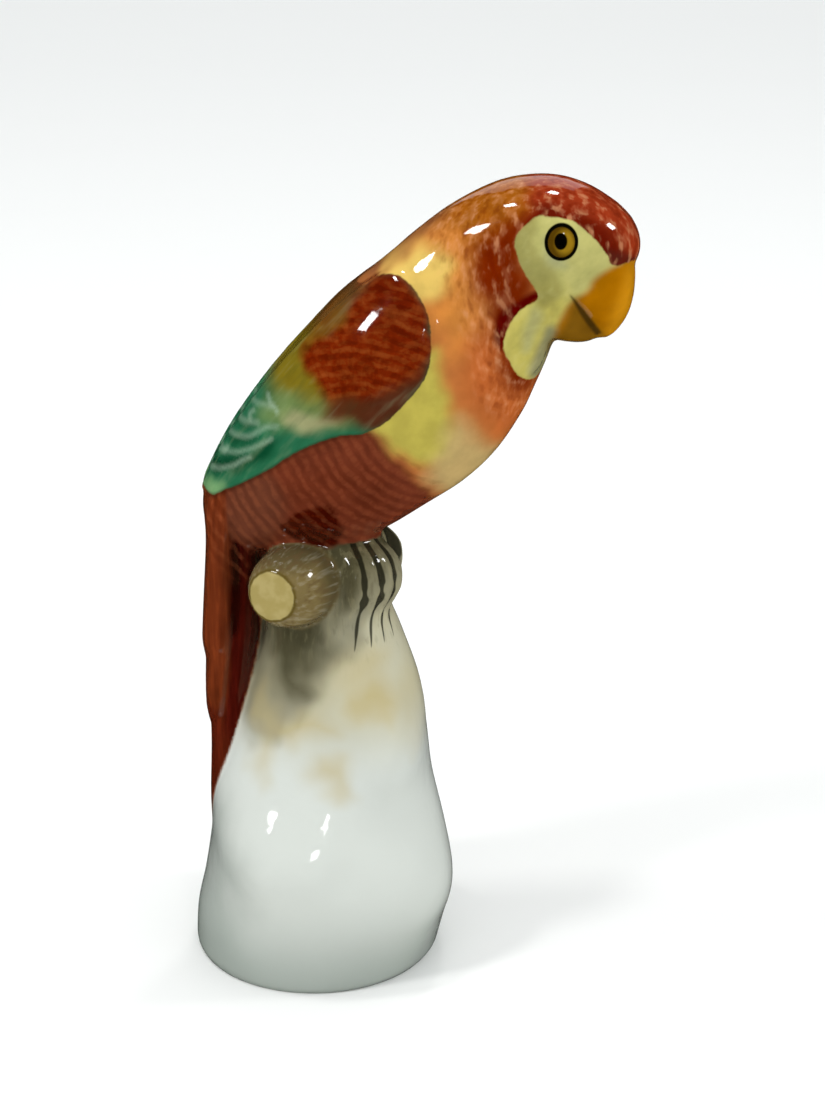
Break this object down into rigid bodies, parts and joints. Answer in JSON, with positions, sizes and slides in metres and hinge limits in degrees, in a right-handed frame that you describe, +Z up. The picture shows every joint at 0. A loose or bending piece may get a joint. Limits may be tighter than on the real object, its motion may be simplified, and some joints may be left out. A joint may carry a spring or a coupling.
{
  "type": "parrot figurine",
  "caption": "Hollow glazed porcelain figurine of a macaw leaning forward on a tree stump with a cut side branch, tail hanging behind, flat foot ring.",
  "frame": {"origin": "on the floor plane, under the middle of the figurine's outline", "axes": "+Z up, +X the way the bird faces, the cut side branch on the -Y side"},
  "size_m": [0.0716, 0.0462, 0.1302],
  "materials": {
    "glazed_porcelain": "white porcelain, hand-painted plumage under a clear gloss glaze"
  },
  "bodies": {
    "root": {"parrot_figurine": "glazed_porcelain"}
  },
  "joints": []
}
